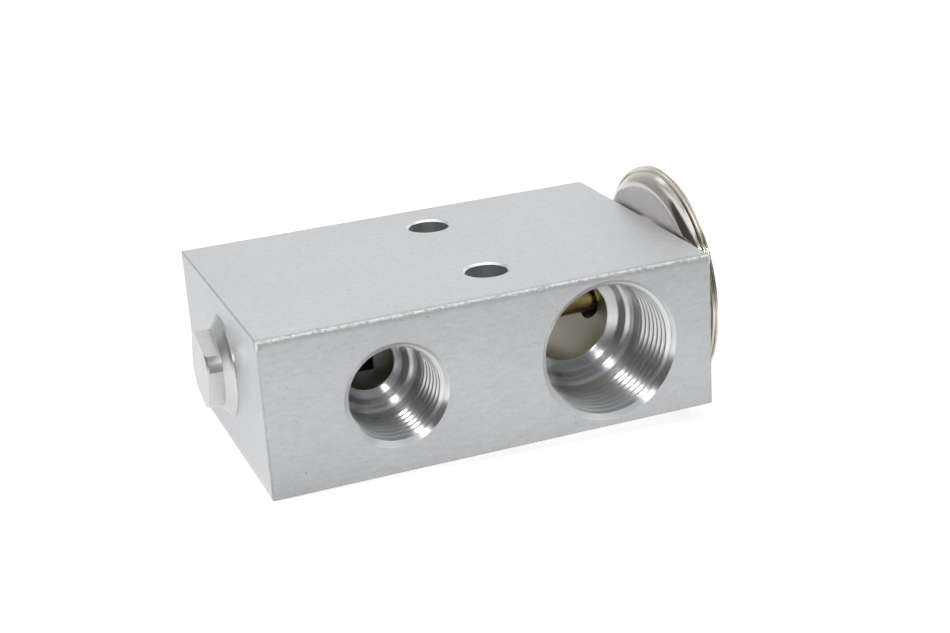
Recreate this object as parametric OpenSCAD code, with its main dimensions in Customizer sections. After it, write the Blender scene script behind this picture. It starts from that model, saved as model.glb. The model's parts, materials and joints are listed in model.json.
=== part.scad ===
// Block expansion valve for a vehicle air conditioner.
// A square aluminium block carries two liquid ports, a straight suction passage and two clamp holes.
// A welded diaphragm head closes one end, and a square-headed plug over the superheat spring the other.
// Frame: +X runs along the valve axis towards the power head, -Y is the port side seen first and +Z is up.
// The origin is the centre of the two clamp holes, half way through the block.
// All sizes are in millimetres, and distances named "_at" are measured along X from the plug face.

/* [Block] */
// Length of the block from the plug face to the head face
block_length = 73.6; // [73:0.1:75]
// Width of the block from the front ports to the back ports
block_width = 48.3; // [48:0.1:49.5]
// Thickness of the block, the way the clamp bolts run
block_height = 25.4; // [25.2:0.1:27]
// Size of the broken edges of the block
edge_break = 0.2; // [0.1:0.05:0.4]
// Distance of the valve axis from the middle of the block's width, towards the front
axis_shift = 0.85; // [0.6:0.05:1]
// Height of the valve axis above the middle of the block
axis_rise = 0.9; // [0.5:0.1:1]

/* [Clamp holes] */
// Distance from the plug face to the row of clamp holes
clamp_at = 40.55; // [40.2:0.05:41]
// Distance from the front face to the nearer clamp hole
clamp_from_front = 12; // [11.6:0.1:12.4]
// Distance between the two clamp holes
clamp_spacing = 26.4; // [26:0.1:26.8]
// Radius of a clamp hole
clamp_radius = 3.4; // [3.2:0.05:3.5]
// Chamfer at both ends of a clamp hole
clamp_chamfer = 0.35; // [0.2:0.05:0.5]

/* [Ports] */
// Distance from the plug face to the liquid inlet on the front
inlet_at = 20.6; // [20.4:0.05:20.8]
// Distance from the plug face to the liquid outlet on the back
outlet_at = 27.8; // [27.6:0.05:28]
// Distance from the head face back to the suction passage
suction_from_head = 17.8; // [17.6:0.1:18]
// Thread radius of the two liquid ports
liquid_thread_radius = 7.94; // [7.7:0.02:8]
// Thread radius of the two suction ports
suction_thread_radius = 11.11; // [10.9:0.01:11.2]
// Depth of the thread in a liquid port
liquid_thread_depth = 9.3; // [9:0.1:9.6]
// Depth of the thread in a suction port
suction_thread_depth = 10.4; // [10:0.1:10.6]
// Chamfer at the mouth of a port
port_chamfer = 0.5; // [0.3:0.05:0.6]
// Height of the thread, from the tapped wall to the drilled wall behind it
thread_height = 0.72; // [0.6:0.02:0.76]
// Radius of the drilling behind a liquid port
liquid_bore_radius = 4.42; // [4.2:0.02:4.5]
// Radius of the straight suction passage
suction_bore_radius = 6.95; // [6.8:0.05:7.1]
// Radius of the drilling from the liquid outlet to the seat
outlet_bore_radius = 2.6; // [2.4:0.05:2.7]

/* [Seat and ball] */
// Radius of the ball
ball_radius = 2.8; // [2.7:0.05:2.9]
// Radius of the hole that the ball closes
seat_radius = 2.2; // [2:0.05:2.3]
// Length of the seat hole
seat_land = 2.15; // [2:0.05:2.2]
// Size of the cone at the mouth of the seat hole
seat_chamfer = 0.4; // [0.2:0.05:0.5]
// Gap between the ball and the seat edge in the part-open rest state
rest_gap = 0.3; // [0.25:0.01:0.35]
// Radius of the chamber that holds the ball and the spring
chamber_radius = 5.5; // [5.4:0.05:5.6]

/* [Spring end] */
// Radius of the ball carrier where it holds the ball
carrier_radius = 3.9; // [3.7:0.05:4]
// Radius of the carrier flange that the spring pushes
carrier_flange_radius = 4.75; // [4.6:0.05:4.8]
// Radius of the spring wire
wire_radius = 0.5; // [0.45:0.01:0.52]
// Mean radius of the spring coil
coil_radius = 3.9; // [3.8:0.05:3.95]
// Number of turns of the spring, its closed end turns included
coil_turns = 4.5; // [4:0.5:5]
// Thread radius of the adjusting nut
nut_radius = 6.1; // [6:0.05:6.2]
// Thickness of the adjusting nut
nut_thickness = 2.8; // [2.6:0.1:3]
// Width across the flats of the socket in the adjusting nut
nut_socket = 4; // [3.6:0.1:4.2]

/* [End plug] */
// Thread radius of the end plug
plug_thread_radius = 7; // [6.9:0.05:7.1]
// Depth that the end plug reaches into the block
plug_depth = 5.6; // [5.4:0.1:5.8]
// Radius of the plug flange
plug_flange_radius = 8.1; // [8:0.05:8.3]
// Thickness of the plug flange
plug_flange_height = 0.6; // [0.5:0.05:0.8]
// Bevel at the rim of the plug flange
plug_flange_bevel = 0.4; // [0.2:0.05:0.45]
// Width across the flats of the square head
plug_square = 10.3; // [10:0.1:10.6]
// Radius of the round stock that rounds the corners of the square head
plug_corner_radius = 6.1; // [6:0.05:6.3]
// Height of the cone between the flange and the square head
plug_collar_height = 1; // [0.8:0.05:1.2]
// Height of the square head above the cone
plug_head_height = 2.35; // [2.1:0.05:2.6]
// Angle at which the square head came to rest when it was tightened
plug_turn = 19; // [0:1:45]

/* [Operating rod] */
// Radius of the brass sensing rod
rod_radius = 2.9; // [2.8:0.02:3]
// Radius of the steel push pin
pin_radius = 1.2; // [1.1:0.02:1.3]
// Radial clearance of the rod and the pin in their guides
running_clearance = 0.05; // [0.03:0.01:0.08]
// Radial room around the rod where it leaves the suction passage
vapour_gap = 1.2; // [1:0.05:1.3]
// Radial size of the groove for the rod seal
rod_groove = 1.75; // [1.65:0.05:1.85]
// Distance from the suction passage back to the groove for the rod seal
rod_groove_setback = 4.8; // [4.6:0.1:5]
// Length of rod in its guide behind the seal groove
rod_guide_length = 3; // [2.8:0.1:3.2]
// Room behind the end of the rod in its guide
rod_end_room = 1.2; // [1:0.1:1.4]

/* [Power head] */
// Radius of the welded rim of the power head
head_radius = 19.6; // [19.3:0.1:19.9]
// Distance from the block to the flat underside of the power head
head_standoff = 0.5; // [0.4:0.05:0.7]
// Thickness of the pressed covers
cover_sheet = 0.7; // [0.6:0.05:0.75]
// Thickness of one cover at the rim
rim_sheet = 0.45; // [0.4:0.01:0.5]
// Outer radius of the rolled shoulder of the lower cover
shoulder_radius = 2.8; // [2.6:0.05:3]
// Width of the flat rim outside the rolled shoulder
rim_width = 0.6; // [0.5:0.05:0.7]
// Radius of the hub that seats on the block
hub_radius = 11.5; // [11.3:0.05:11.55]
// Thread radius of the neck that screws into the block
neck_radius = 9; // [8.9:0.05:9.1]
// Inner radius of the neck
neck_bore_radius = 6.6; // [6.4:0.05:6.7]
// Length of the threaded neck
neck_length = 7; // [6.8:0.05:7.1]
// Height of the upper cover above the diaphragm
dome_height = 2; // [1.9:0.1:2.2]
// Width of the rim left outside the upper cover
dome_inset = 3.2; // [3.1:0.05:3.4]
// Outer radius of the rounded shoulder of the upper cover
dome_corner = 1.7; // [1.5:0.1:1.8]
// Thickness of the diaphragm
diaphragm_thickness = 0.2; // [0.15:0.01:0.25]
// Height of the corrugation in the diaphragm
corrugation_height = 0.35; // [0.25:0.05:0.4]
// Radius of the support disc under the diaphragm
support_radius = 12.2; // [12:0.1:12.4]
// Travel from rest until the support disc lands on the lower cover
open_travel = 0.65; // [0.6:0.01:0.7]
// Radius of the hole that the charge plug closes
charge_hole_radius = 1.5; // [1.3:0.05:1.7]

/* [Display] */
// Piece to draw, or all of them

/* [Hidden] */

$fn = 96;

// Small overlap that keeps cuts and joins clean
eps = 0.01;
// Clearance left between a threaded piece and its tapped hole, on the radius
thread_clearance = 0.05;
// Clearance around a seal ring in its groove
seal_clearance = 0.03;

// Places of the block faces and of the valve axis in the frame
plug_face_x = -clamp_at;
front_y = -clamp_from_front - clamp_spacing / 2;
back_y = front_y + block_width;
axis_from_front = block_width / 2 - axis_shift;
axis_from_back = block_width / 2 + axis_shift;
axis_y = front_y + axis_from_front;

// Places along the valve axis, from the plug face
outlet_bore_start = outlet_at - outlet_bore_radius + 0.1;
chamber_end = outlet_bore_start - seat_land;
seat_edge = chamber_end + seat_chamfer;
ball_reach = sqrt(pow(ball_radius + rest_gap, 2) - pow(seat_radius, 2));
ball_at = seat_edge - ball_reach;
outlet_chamber_radius = 2.9;
outlet_chamber_end = outlet_at + outlet_bore_radius + 1.1;
suction_at = block_length - suction_from_head;
passage_start = suction_at - suction_bore_radius;
passage_end = suction_at + suction_bore_radius;

// Plug bore, from the block's face inwards
plug_seal_section = 0.78;
plug_neck_radius = plug_thread_radius - 1;
plug_groove_radius = plug_neck_radius + 2 * plug_seal_section + 2 * seal_clearance;
plug_groove_depth = 2 * plug_seal_section + 0.14;
nut_bore_start = plug_depth + 0.4;
nut_face = nut_bore_start + 0.3 + nut_thickness;
nut_bore_end = nut_face + 0.8;

// Ball carrier: a cone of 90 degrees holds the ball
cone_apex = ball_at - ball_radius * sqrt(2);
carrier_front = ball_at - 0.75;
carrier_flange_front = cone_apex + 0.9;
carrier_flange_back = cone_apex - 0.2;
damper_sheet = 0.3;
damper_back = carrier_flange_back - damper_sheet;
spring_pilot_radius = coil_radius - wire_radius - 0.4;
spring_length = damper_back - nut_face;
end_pitch = 2 * wire_radius * 1.06;
free_pitch = (spring_length - 2 * wire_radius - 2 * end_pitch) / (coil_turns - 2);

// Rod, pin and their guides
rod_groove_start = passage_start - rod_groove_setback;
rod_start = rod_groove_start - rod_guide_length;
rod_guide_start = rod_start - rod_end_room;
rod_guide_radius = rod_radius + running_clearance;
pin_guide_radius = pin_radius + running_clearance;
pin_start = ball_at + ball_radius;
pin_socket = 3;
rod_groove_radius = rod_radius + rod_groove;
rod_seal_section = (rod_groove - 2 * seal_clearance) / 2;
washer_start = rod_groove_start + 2 * rod_seal_section + 0.1;
washer_thickness = 0.8;
retainer_sheet = 0.4;

// Power head, measured from the head face of the block
underside = head_standoff;
inner_face = underside + cover_sheet;
shoulder_centre = underside + shoulder_radius;
shoulder_centre_radius = head_radius - rim_width - shoulder_radius;
diaphragm_low = shoulder_centre - 0.5;
diaphragm_high = diaphragm_low + diaphragm_thickness;
dome_top = diaphragm_high + dome_height;
dome_radius = head_radius - dome_inset;
free_radius = dome_radius - cover_sheet - 0.2;
head_seal_section = 0.93;
head_groove_radius = neck_radius + 2 * head_seal_section + seal_clearance;
head_groove_depth = 2 * head_seal_section + 0.1;
neck_hole_depth = neck_length + 0.4;
support_thickness = diaphragm_low - inner_face - open_travel;
support_hub_radius = neck_bore_radius - 1;
support_hub_length = 6.2;
rod_end = block_length + inner_face - 0.3;

// Places a shape that was drawn along +Z on the valve axis, at a distance from the plug face
module on_axis(at) {
    translate([plug_face_x + at, axis_y, axis_rise]) rotate([0, 90, 0]) children();
}

// Places a cut that was drawn along +Z so that it goes into the front face
module from_front(at) {
    translate([plug_face_x + at, front_y, 0]) rotate([-90, 0, 0]) children();
}

// Places a cut that was drawn along +Z so that it goes into the back face
module from_back(at) {
    translate([plug_face_x + at, back_y, 0]) rotate([90, 0, 0]) children();
}

// A washer or sleeve that stands on the plane z = 0
module tube(outer, inner, height) {
    difference() {
        cylinder(r = outer, h = height);
        translate([0, 0, -1]) cylinder(r = inner, h = height + 2);
    }
}

// A seal ring of round section, between two radii and standing on the plane z = 0
module seal_ring(inner, section) {
    translate([0, 0, section]) rotate_extrude() translate([inner + section, 0]) circle(r = section, $fn = 32);
}

// A rectangle with its four corners cut off at 45 degrees
module broken_rectangle(width, height, cut) {
    polygon([
        [cut, 0], [width - cut, 0], [width, cut], [width, height - cut],
        [width - cut, height], [cut, height], [0, height - cut], [0, cut]
    ]);
}

// The plain block with every edge broken
module blank() {
    translate([plug_face_x, front_y, -block_height / 2]) intersection() {
        linear_extrude(block_height) broken_rectangle(block_length, block_width, edge_break);
        translate([0, block_width, 0]) rotate([90, 0, 0])
            linear_extrude(block_width) broken_rectangle(block_length, block_height, edge_break);
        rotate([90, 0, 90])
            linear_extrude(block_length) broken_rectangle(block_width, block_height, edge_break);
    }
}

// The cut for one port: chamfer, tapped wall, drilled wall, seal cone, pilot, lip and drilling
// pilot_step: how much smaller the pilot is than the tapped wall
// lip_step: how much smaller again the lip is
module port_cut(thread_radius, thread_depth, pilot_step, lip_step, bore_radius, bore_depth) {
    drilled_radius = thread_radius - thread_height;
    cone_start = thread_depth + 2.1;
    pilot_radius = thread_radius - pilot_step;
    pilot_start = cone_start + 1.3 * (drilled_radius - pilot_radius);
    pilot_end = pilot_start + 0.65;
    lip_radius = pilot_radius - lip_step;
    lip_start = pilot_end + 0.7 * lip_step;
    bore_start = lip_start + 0.5;
    rotate_extrude() polygon([
        [0, -1], [thread_radius + port_chamfer + 1, -1], [thread_radius, port_chamfer],
        [thread_radius, thread_depth], [drilled_radius, thread_depth], [drilled_radius, cone_start],
        [pilot_radius, pilot_start], [pilot_radius, pilot_end], [lip_radius, lip_start],
        [bore_radius, bore_start], [bore_radius, bore_depth], [0, bore_depth]
    ]);
}

// Liquid port, tapped for the smaller fitting
module liquid_port_cut(depth) {
    port_cut(liquid_thread_radius, liquid_thread_depth, 1.74, 1, liquid_bore_radius, depth);
}

// Suction port, tapped for the larger fitting
module suction_port_cut() {
    port_cut(suction_thread_radius, suction_thread_depth, 1.86, 0.8, suction_bore_radius, block_width / 2);
}

// The two clamp holes with their chamfers
module clamp_cut() {
    mouth = clamp_radius + clamp_chamfer;
    for (side = [-1, 1]) translate([0, side * clamp_spacing / 2, 0]) {
        cylinder(r = clamp_radius, h = block_height + 2, center = true);
        for (end = [0, 180]) rotate([end, 0, 0]) translate([0, 0, block_height / 2 - clamp_chamfer])
            cylinder(r1 = clamp_radius, r2 = mouth + 1, h = clamp_chamfer + 1);
    }
}

// Bores on the valve axis at the spring end, up to the outlet chamber
module spring_end_cut() {
    on_axis(-1) cylinder(r = plug_groove_radius, h = plug_groove_depth + 1);
    on_axis(0) cylinder(r = plug_thread_radius, h = nut_bore_start);
    on_axis(0) cylinder(r = nut_radius, h = nut_bore_end);
    on_axis(0) cylinder(r = chamber_radius, h = chamber_end);
    on_axis(chamber_end - eps)
        cylinder(r1 = seat_radius + seat_chamfer + eps, r2 = seat_radius, h = seat_chamfer + eps);
    on_axis(chamber_end) cylinder(r = seat_radius, h = seat_land + 1);
    on_axis(outlet_bore_start) cylinder(r = outlet_chamber_radius, h = outlet_chamber_end - outlet_bore_start);
}

// Guides for the pin and the rod, the seal groove and the hole to the power head
module rod_cut() {
    on_axis(outlet_chamber_end - 1) cylinder(r = pin_guide_radius, h = rod_guide_start - outlet_chamber_end + 2);
    on_axis(rod_guide_start) cylinder(r = rod_guide_radius, h = suction_at - rod_guide_start);
    on_axis(rod_groove_start) cylinder(r = rod_groove_radius, h = suction_at - rod_groove_start);
    on_axis(suction_at) cylinder(r = rod_radius + vapour_gap, h = block_length - suction_at);
    on_axis(block_length - neck_hole_depth) cylinder(r = neck_radius, h = neck_hole_depth + 1);
    on_axis(block_length - head_groove_depth) cylinder(r = head_groove_radius, h = head_groove_depth + 1);
}

// Machined block with its ports, passages, seat and guides
module block_body() {
    inlet_depth = axis_from_front - chamber_radius + 1.85;
    outlet_step = axis_from_back - chamber_radius - 1.65;
    color([0.76, 0.77, 0.78]) difference() {
        blank();
        from_front(inlet_at) liquid_port_cut(inlet_depth);
        from_back(outlet_at) liquid_port_cut(outlet_step);
        from_back(outlet_at) cylinder(r = outlet_bore_radius, h = axis_from_back);
        from_front(suction_at) suction_port_cut();
        from_back(suction_at) suction_port_cut();
        clamp_cut();
        spring_end_cut();
        rod_cut();
    }
}

// Square head with its corners left from the round stock
module square_head(height) {
    edge = 0.3;
    intersection() {
        translate([0, 0, height / 2]) cube([plug_square, plug_square, height], center = true);
        union() {
            cylinder(r = plug_corner_radius, h = height - edge);
            translate([0, 0, height - edge])
                cylinder(r1 = plug_corner_radius, r2 = plug_corner_radius - edge, h = edge);
        }
    }
}

// End plug: square head, cone, bevelled flange, seal neck and thread
module end_plug() {
    straight = plug_flange_height - plug_flange_bevel;
    collar_radius = plug_flange_radius - plug_flange_bevel;
    hollow = 3;
    color([0.8, 0.8, 0.79]) difference() {
        union() {
            on_axis(-plug_flange_height - plug_collar_height) rotate([0, 0, plug_turn]) mirror([0, 0, 1])
                translate([0, 0, -eps]) square_head(plug_head_height + eps);
            on_axis(-plug_flange_height - plug_collar_height)
                cylinder(r1 = plug_corner_radius + 0.2, r2 = collar_radius, h = plug_collar_height);
            on_axis(-straight) cylinder(r = plug_flange_radius, h = straight);
            on_axis(-plug_flange_height)
                cylinder(r1 = collar_radius, r2 = plug_flange_radius, h = plug_flange_bevel);
            on_axis(-eps) cylinder(r = plug_neck_radius, h = plug_groove_depth + 2 * eps);
            on_axis(plug_groove_depth)
                cylinder(r = plug_thread_radius - thread_clearance, h = plug_depth - plug_groove_depth);
        }
        on_axis(plug_depth - hollow) cylinder(r = 3.6, h = hollow + 1);
    }
}

// Seal ring under the plug flange
module plug_seal() {
    color([0.08, 0.08, 0.09]) on_axis(0.07) seal_ring(plug_neck_radius + seal_clearance, plug_seal_section);
}

// Threaded ring that sets the spring load, with a socket for the key
module adjusting_nut() {
    color([0.75, 0.62, 0.33]) on_axis(nut_face - nut_thickness) difference() {
        union() {
            cylinder(r = nut_radius - thread_clearance, h = nut_thickness);
            cylinder(r = spring_pilot_radius, h = nut_thickness + 1);
        }
        translate([0, 0, -1]) cylinder(r = nut_socket / sqrt(3), h = nut_thickness + 3, $fn = 6);
    }
}

// Height of the spring wire's centre after a number of turns
function wire_height(turn) =
    turn < 1 ? turn * end_pitch :
    turn < coil_turns - 1 ? end_pitch + (turn - 1) * free_pitch :
    end_pitch + (coil_turns - 2) * free_pitch + (turn - coil_turns + 1) * end_pitch;

// Compression spring with closed end turns, swept as a ring of points around the wire
module superheat_spring() {
    steps_per_turn = 28;
    sides = 10;
    steps = round(coil_turns * steps_per_turn);
    points = [
        for (i = [0:steps]) for (j = [0:sides - 1])
            let (
                turn = i / steps_per_turn,
                around = 360 * turn,
                reach = coil_radius + wire_radius * cos(360 * j / sides),
                up = wire_radius + wire_height(turn) + wire_radius * sin(360 * j / sides)
            )
            [reach * cos(around), reach * sin(around), up]
    ];
    sides_faces = [
        for (i = [0:steps - 1]) for (j = [0:sides - 1])
            let (k = (j + 1) % sides)
            [i * sides + j, i * sides + k, (i + 1) * sides + k, (i + 1) * sides + j]
    ];
    start_face = [for (j = [sides - 1:-1:0]) j];
    end_face = [for (j = [0:sides - 1]) steps * sides + j];
    color([0.62, 0.63, 0.65]) on_axis(nut_face)
        polyhedron(points = points, faces = concat(sides_faces, [start_face], [end_face]), convexity = 8);
}

// Sheet ring with three legs along the chamber wall, which keeps the carrier from humming
module damper_ring() {
    leg_outer = chamber_radius - 0.3;
    leg_inner = leg_outer - damper_sheet;
    leg_length = 3;
    leg_angle = 34;
    color([0.7, 0.7, 0.71]) on_axis(damper_back) {
        tube(carrier_flange_radius, spring_pilot_radius + 0.1, damper_sheet);
        for (turn = [30, 150, 270]) rotate([0, 0, turn]) {
            rotate_extrude(angle = leg_angle) translate([carrier_flange_radius - 0.3, 0])
                square([leg_outer - carrier_flange_radius + 0.3, damper_sheet]);
            rotate_extrude(angle = leg_angle) translate([leg_inner, damper_sheet - leg_length])
                square([damper_sheet, leg_length]);
        }
    }
}

// Carrier that holds the ball in a cone and takes the spring on its flange
module ball_carrier() {
    cone_depth = carrier_front - cone_apex;
    flange_thickness = carrier_flange_front - carrier_flange_back;
    color([0.8, 0.66, 0.36]) difference() {
        union() {
            on_axis(carrier_flange_back - 1.6) cylinder(r = spring_pilot_radius, h = 1.6 + eps);
            on_axis(carrier_flange_back) cylinder(r = carrier_flange_radius, h = flange_thickness);
            on_axis(carrier_flange_front - eps)
                cylinder(r = carrier_radius, h = carrier_front - carrier_flange_front + eps);
        }
        on_axis(cone_apex) cylinder(r1 = 0, r2 = cone_depth + 1, h = cone_depth + 1);
    }
}

// Ball that closes the seat
module valve_ball() {
    color([0.85, 0.86, 0.88]) on_axis(ball_at) sphere(r = ball_radius);
}

// Steel pin from the rod, through the seat, to the ball
module push_pin() {
    color([0.78, 0.79, 0.8]) on_axis(pin_start) cylinder(r = pin_radius, h = rod_start + pin_socket - pin_start);
}

// Brass rod that crosses the suction passage and feels the vapour
module sensing_rod() {
    edge = 0.4;
    full = rod_end - rod_start;
    color([0.78, 0.66, 0.3]) on_axis(rod_start) difference() {
        union() {
            cylinder(r1 = rod_radius - edge, r2 = rod_radius, h = edge);
            translate([0, 0, edge]) cylinder(r = rod_radius, h = full - edge);
        }
        translate([0, 0, -1]) cylinder(r = pin_radius, h = pin_socket + 1);
    }
}

// Seal ring around the rod, between the liquid side and the suction passage
module rod_seal() {
    color([0.08, 0.08, 0.09]) on_axis(rod_groove_start + 0.03)
        seal_ring(rod_radius + running_clearance, rod_seal_section - (running_clearance - seal_clearance) / 2);
}

// Plain washer that backs up the rod seal
module backup_washer() {
    color([0.93, 0.92, 0.88]) on_axis(washer_start)
        tube(rod_groove_radius - 0.03, rod_guide_radius, washer_thickness);
}

// Push-in ring with teeth that holds the washer in its groove
module seal_retainer() {
    teeth = 8;
    notch = 0.9;
    color([0.72, 0.73, 0.75]) on_axis(washer_start + washer_thickness) difference() {
        tube(rod_groove_radius, rod_guide_radius + 0.25, retainer_sheet);
        for (tooth = [0:teeth - 1]) rotate([0, 0, tooth * 360 / teeth])
            translate([rod_groove_radius - 0.7, -notch / 2, -1]) cube([2, notch, retainer_sheet + 2]);
    }
}

// Seal ring between the block and the neck of the power head
module head_seal() {
    color([0.08, 0.08, 0.09]) on_axis(block_length - head_groove_depth + 0.05)
        seal_ring(neck_radius - thread_clearance + seal_clearance, head_seal_section);
}

// Half section of the lower cover: flat underside, rolled shoulder and half-round rim
module lower_cover_section() {
    rim_low = diaphragm_low - rim_sheet;
    intersection() {
        difference() {
            union() {
                translate([shoulder_centre_radius, shoulder_centre]) circle(r = shoulder_radius);
                translate([0, underside]) square([shoulder_centre_radius, shoulder_radius]);
                translate([0, rim_low]) square([head_radius - rim_sheet / 2, rim_sheet]);
                translate([head_radius - rim_sheet / 2, rim_low + rim_sheet / 2]) circle(r = rim_sheet / 2, $fn = 32);
            }
            translate([shoulder_centre_radius, shoulder_centre]) circle(r = shoulder_radius - cover_sheet);
            translate([0, inner_face]) square([shoulder_centre_radius, shoulder_radius]);
        }
        square([head_radius + 1, diaphragm_low]);
    }
    square([hub_radius, inner_face]);
    translate([0, -neck_length]) square([neck_radius - thread_clearance, neck_length + eps]);
}

// Lower cover of the power head with the neck that screws into the block
module head_lower_cover() {
    color([0.74, 0.72, 0.69]) on_axis(block_length) rotate_extrude() difference() {
        lower_cover_section();
        translate([-1, -neck_length - 1]) square([neck_bore_radius + 1, neck_length + inner_face + 2]);
    }
}

// Disc and hub that carry the diaphragm's movement to the rod
module diaphragm_support() {
    hub_top = diaphragm_low - support_thickness;
    color([0.77, 0.78, 0.8]) on_axis(block_length) difference() {
        union() {
            translate([0, 0, hub_top]) cylinder(r = support_radius, h = support_thickness);
            translate([0, 0, hub_top - support_hub_length])
                cylinder(r = support_hub_radius, h = support_hub_length + eps);
        }
        translate([0, 0, hub_top - support_hub_length - 1])
            cylinder(r = rod_radius, h = rod_end - block_length - hub_top + support_hub_length + 1);
    }
}

// Height of the diaphragm at a radius: flat in the middle and at the rim, one smooth wave between
function wave(radius) =
    radius < support_radius + 0.3 || radius > free_radius ? 0 :
    corrugation_height * (1 - cos(360 * (radius - support_radius - 0.3) / (free_radius - support_radius - 0.3))) / 2;

// Thin steel diaphragm clamped between the two covers
module diaphragm() {
    steps = 16;
    outer = head_radius - rim_sheet / 2 - 0.1;
    start = support_radius + 0.3;
    radii = [for (i = [0:steps]) start + (free_radius - start) * i / steps];
    low = concat([[0, 0]], [for (r = radii) [r, wave(r)]], [[outer, 0]]);
    high = concat(
        [[outer, diaphragm_thickness]],
        [for (i = [steps:-1:0]) [radii[i], wave(radii[i]) + diaphragm_thickness]],
        [[0, diaphragm_thickness]]
    );
    color([0.8, 0.8, 0.82]) on_axis(block_length + diaphragm_low) rotate_extrude() polygon(concat(low, high));
}

// Half section of a dome with rounded shoulders, from the plane y = 0 up
module dome_section(radius, height, corner) {
    intersection() {
        union() {
            square([radius - corner, height]);
            square([radius, height - corner]);
            translate([radius - corner, height - corner]) circle(r = corner);
        }
        square([radius, height]);
    }
}

// Upper cover of the power head, a shallow dome with a half-round rim
module head_upper_cover() {
    outer_height = dome_top - diaphragm_high;
    color([0.74, 0.72, 0.69]) on_axis(block_length + diaphragm_high) rotate_extrude() difference() {
        union() {
            dome_section(dome_radius, outer_height, dome_corner);
            square([head_radius - rim_sheet / 2, rim_sheet]);
            translate([head_radius - rim_sheet / 2, rim_sheet / 2]) circle(r = rim_sheet / 2, $fn = 32);
        }
        translate([0, -eps])
            dome_section(dome_radius - cover_sheet, outer_height - cover_sheet + eps, dome_corner - cover_sheet);
        translate([-1, 0]) square([charge_hole_radius + 1, outer_height + 1]);
        translate([-dome_radius, -1]) square([dome_radius, outer_height + 2]);
    }
}

// Plug welded into the hole through which the head was charged
module charge_plug() {
    cap_radius = charge_hole_radius + 1.1;
    cap_height = 0.9;
    color([0.7, 0.69, 0.67]) on_axis(block_length + dome_top) {
        translate([0, 0, -cover_sheet - 0.3]) cylinder(r = charge_hole_radius, h = cover_sheet + 0.3 + eps);
        cylinder(r1 = cap_radius, r2 = cap_radius - 0.5, h = cap_height);
    }
}

block_body();
end_plug();
plug_seal();
adjusting_nut();
superheat_spring();
damper_ring();
ball_carrier();
valve_ball();
push_pin();
sensing_rod();
rod_seal();
backup_washer();
seal_retainer();
head_seal();
head_lower_cover();
diaphragm_support();
diaphragm();
head_upper_cover();
charge_plug();
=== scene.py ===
"""Block expansion valve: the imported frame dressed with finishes, port threads and a soft white studio."""

import json
import logging
import math
from dataclasses import dataclass
from enum import Enum
from typing import Any, Union

import bpy
import numpy as np
from mathutils import Matrix, Vector


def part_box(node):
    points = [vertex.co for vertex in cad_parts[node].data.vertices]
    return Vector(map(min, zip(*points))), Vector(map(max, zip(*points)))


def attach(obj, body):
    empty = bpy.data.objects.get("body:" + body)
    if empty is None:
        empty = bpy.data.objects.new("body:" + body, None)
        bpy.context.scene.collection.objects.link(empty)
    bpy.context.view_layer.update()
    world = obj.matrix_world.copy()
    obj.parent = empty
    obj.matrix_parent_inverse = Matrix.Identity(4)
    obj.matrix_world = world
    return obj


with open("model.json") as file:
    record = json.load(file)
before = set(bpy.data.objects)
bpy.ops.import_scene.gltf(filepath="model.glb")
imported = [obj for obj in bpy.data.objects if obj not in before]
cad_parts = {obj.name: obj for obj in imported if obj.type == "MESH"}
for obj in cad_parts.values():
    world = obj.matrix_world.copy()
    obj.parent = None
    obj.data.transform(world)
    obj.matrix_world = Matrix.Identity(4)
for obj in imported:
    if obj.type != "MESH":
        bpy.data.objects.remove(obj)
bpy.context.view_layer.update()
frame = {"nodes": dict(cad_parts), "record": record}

LOG = logging.getLogger("expansion_valve")
MM = 0.001
INCH = 25.4
SHARP_ANGLE = math.radians(32)
BLOCK_BODY = "valve_block"
MOUNTS = {mount["name"]: mount for mount in frame["record"]["mounts"]}

Colour = tuple[float, float, float]
Point = tuple[float, float, float]
Range = tuple[float, float]
Steps = tuple[Range, ...]
Socket = bpy.types.NodeSocket
Source = Union[Socket, float, tuple[float, ...]]


class Side(Enum):
    """The side of the block that a port is cut into, as the sign of its outward direction along Y."""

    FRONT = -1
    BACK = 1


# Sizes read from the frame


def to_mm(place: Any) -> Point:
    """Metres as millimetres, to the hundredth, so that a faceted curve gives its true size.

    Args:
        place: three numbers in metres.

    Returns:
        The three numbers in millimetres.
    """
    x, y, z = (round(float(value) / MM, 2) for value in place)
    return x, y, z


@dataclass(frozen=True)
class ValveSizes:
    """Places on the valve in millimetres, in the frame of the CAD model."""

    low: Point
    high: Point
    axis_y: float
    axis_z: float
    rim_radius: float
    rim_x: float = 36.2

    @classmethod
    def from_frame(cls) -> "ValveSizes":
        """Reads the block's corners, and the head's axis and rim.

        Returns:
            The sizes.
        """
        low, high = (to_mm(corner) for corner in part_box("block_body"))
        rim_low, rim_high = (to_mm(corner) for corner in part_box("head_upper_cover"))
        return cls(
            low=low,
            high=high,
            axis_y=round((rim_low[1] + rim_high[1]) / 2, 2),
            axis_z=round((rim_low[2] + rim_high[2]) / 2, 2),
            rim_radius=round((rim_high[1] - rim_low[1]) / 2, 2),
        )


VALVE = ValveSizes.from_frame()


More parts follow.
